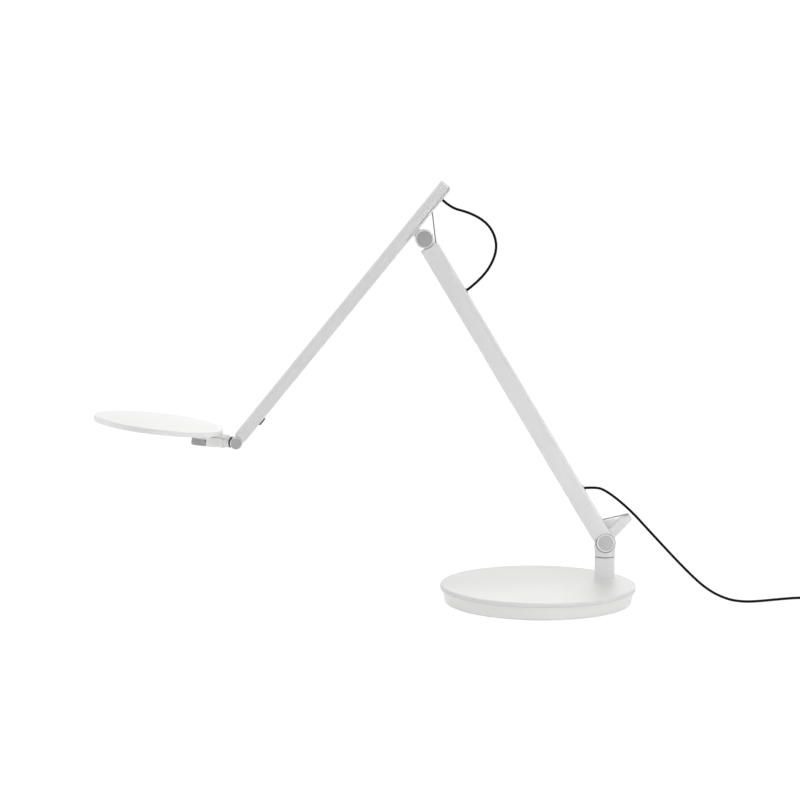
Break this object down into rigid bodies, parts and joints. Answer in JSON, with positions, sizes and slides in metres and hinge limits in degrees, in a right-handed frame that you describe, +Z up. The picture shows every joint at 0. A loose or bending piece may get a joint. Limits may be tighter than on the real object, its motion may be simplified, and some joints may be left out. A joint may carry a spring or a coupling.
{
  "type": "counterweight balance desk lamp",
  "caption": "Desk lamp on a round weighted foot, with two spring-balanced arms, a wire rope horn, knuckle joints, a thin round tilting and panning head, and a mains cord.",
  "frame": {"origin": "centre of the round foot's underside, on the desk", "axes": "+X from the lamp head towards the post, +Y away from the front of the lamp, +Z up"},
  "size_m": [0.8922, 0.251, 0.4736],
  "materials": {
    "base_coat": "fine satin powder coat, light warm grey",
    "base_shell": "moulded, soft sheen",
    "weight_iron": "raw casting",
    "foot_rubber": "matt",
    "zinc_steel": "zinc plated",
    "post_coat": "fine satin powder coat",
    "dark_nylon": "self coloured nylon",
    "arm_coat": "fine satin powder coat, light grey",
    "wire_rope": "stranded steel rope",
    "cap_alloy": "satin silver grey lacquer",
    "spring_steel": "oiled spring wire",
    "dark_rubber": "matt",
    "bumper_rubber": "matt, dark grey",
    "head_coat": "fine satin powder coat, off white",
    "head_plastic": "moulded, fine grain",
    "key_plastic": "moulded, mid grey",
    "lens_acrylic": "opal diffuser",
    "board_laminate": "white solder mask",
    "cord_jacket": "smooth vinyl jacket, black",
    "plug_plastic": "fine moulded grain, black",
    "blade_brass": "nickel plated brass"
  },
  "bodies": {
    "base": {"base_top_plate": "base_coat", "base_skirt": "base_shell", "base_weight": "weight_iron", "foot_pad": "foot_rubber", "base_screws": "zinc_steel", "post_sleeve": "post_coat", "swivel_bush": "dark_nylon", "post_spindle": "zinc_steel", "spindle_nut": "zinc_steel", "power_cord_floor": "cord_jacket", "cord_coil": "cord_jacket", "plug_relief": "dark_rubber", "plug_body": "plug_plastic", "plug_blades": "blade_brass"},
    "swivel": {"shoulder_yoke": "arm_coat", "horn_ferrule": "zinc_steel", "power_cord_hang": "cord_jacket"},
    "lower_arm": {"lower_arm_tube": "arm_coat", "shoulder_fork": "arm_coat", "shoulder_axle": "zinc_steel", "shoulder_caps": "cap_alloy", "shoulder_washers": "dark_nylon", "shoulder_guide": "dark_nylon", "shoulder_spring": "spring_steel", "shoulder_anchor": "dark_nylon", "shoulder_rope": "wire_rope", "elbow_tongue": "arm_coat", "elbow_ferrule": "zinc_steel", "arm_grommets": "dark_rubber", "elbow_cord": "cord_jacket"},
    "upper_arm": {"upper_arm_tube": "arm_coat", "tail_cover": "arm_coat", "elbow_guide": "dark_nylon", "elbow_hub": "arm_coat", "elbow_axle": "zinc_steel", "elbow_caps": "cap_alloy", "elbow_washers": "dark_nylon", "elbow_spring": "spring_steel", "elbow_anchor": "dark_nylon", "elbow_rope": "wire_rope", "tail_grommet": "dark_rubber", "arm_bumper": "bumper_rubber", "hinge_fork": "arm_coat", "hinge_pin": "zinc_steel", "hinge_caps": "cap_alloy"},
    "head_link": {"head_link": "arm_coat"},
    "lamp_head": {"pan_pin": "zinc_steel", "neck_housing": "head_plastic", "head_shell": "head_coat", "head_lens": "lens_acrylic", "led_board": "board_laminate"},
    "dimmer": {"dimmer_key": "key_plastic"}
  },
  "joints": [
    {"name": "base_swivel", "type": "hinge", "parent": "base", "child": "swivel", "pos_m": [0.0773, 0.0198, 0.0473], "axis": [0, 0, 1], "range_deg": [-90, 90], "deforming": ["power_cord_floor"]},
    {"name": "shoulder_tilt", "type": "hinge", "parent": "swivel", "child": "lower_arm", "pos_m": [0.0773, 0.0198, 0.0654], "axis": [0, 1, 0], "range_deg": [-20, 30], "deforming": ["power_cord_hang", "shoulder_rope"]},
    {"name": "elbow_fold", "type": "hinge", "parent": "lower_arm", "child": "upper_arm", "pos_m": [-0.12812, 0.0198, 0.40863], "axis": [0, -1, 0], "range_deg": [-95, 40], "deforming": ["elbow_cord", "elbow_rope"]},
    {"name": "head_tilt", "type": "hinge", "parent": "upper_arm", "child": "head_link", "pos_m": [-0.33984, 0.0198, 0.17898], "axis": [0, 1, 0], "range_deg": [-85, 28]},
    {"name": "head_pan", "type": "hinge", "parent": "head_link", "child": "lamp_head", "pos_m": [-0.36018, 0.0198, 0.18147], "axis": [0.1219, 0, 0.9925], "range_deg": [-30, 30]},
    {"name": "dimmer_press", "type": "slide", "parent": "lamp_head", "child": "dimmer", "axis": [0, 1, 0], "range_m": [0, 0.0005], "stiffness_N_per_m": 1500, "springref_m": -0.0004}
  ]
}
